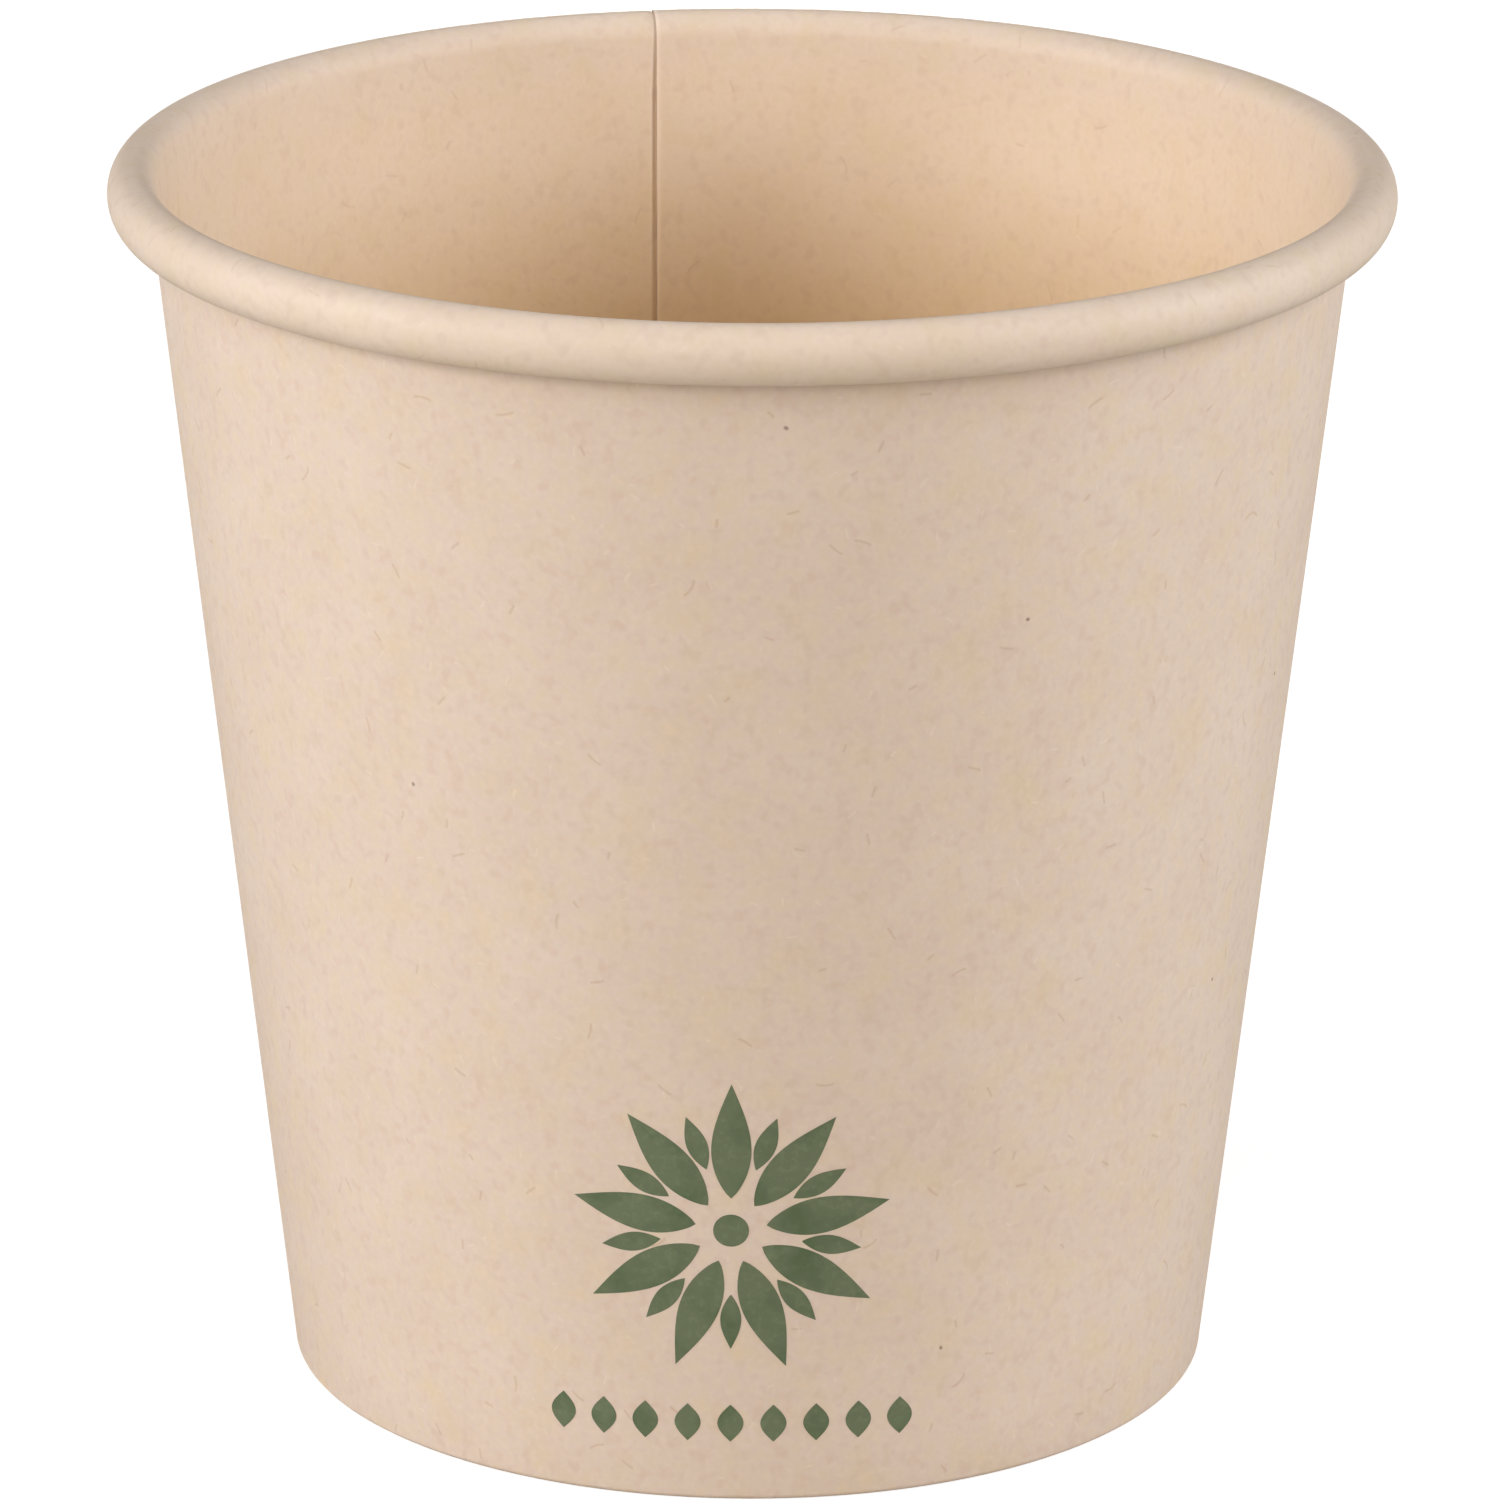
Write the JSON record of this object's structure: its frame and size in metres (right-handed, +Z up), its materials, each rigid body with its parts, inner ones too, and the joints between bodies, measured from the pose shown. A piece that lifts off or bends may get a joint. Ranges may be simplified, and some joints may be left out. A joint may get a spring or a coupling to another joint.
{
  "type": "paper cup",
  "caption": "Tapered single-wall paper cup for hot drinks, with a rolled rim, a lapped side seam and a recessed floor held in a folded base.",
  "frame": {"origin": "on the cup's axis, in the plane of the flat ring that it stands on", "axes": "+Z up along the cup's axis, -Y towards the front, where the print is; the lapped seam is at the back, a little to the left of +Y"},
  "size_m": [0.062, 0.062, 0.0604],
  "materials": {
    "wall_board": "matt unbleached bamboo board",
    "wall_film": "clear satin film on bamboo board",
    "floor_board": "matt unbleached bamboo board",
    "floor_film": "clear satin film on bamboo board"
  },
  "bodies": {
    "root": {"sidewall": "wall_board", "wall_lining": "wall_film", "bottom_disc": "floor_board", "floor_lining": "floor_film"}
  },
  "joints": []
}
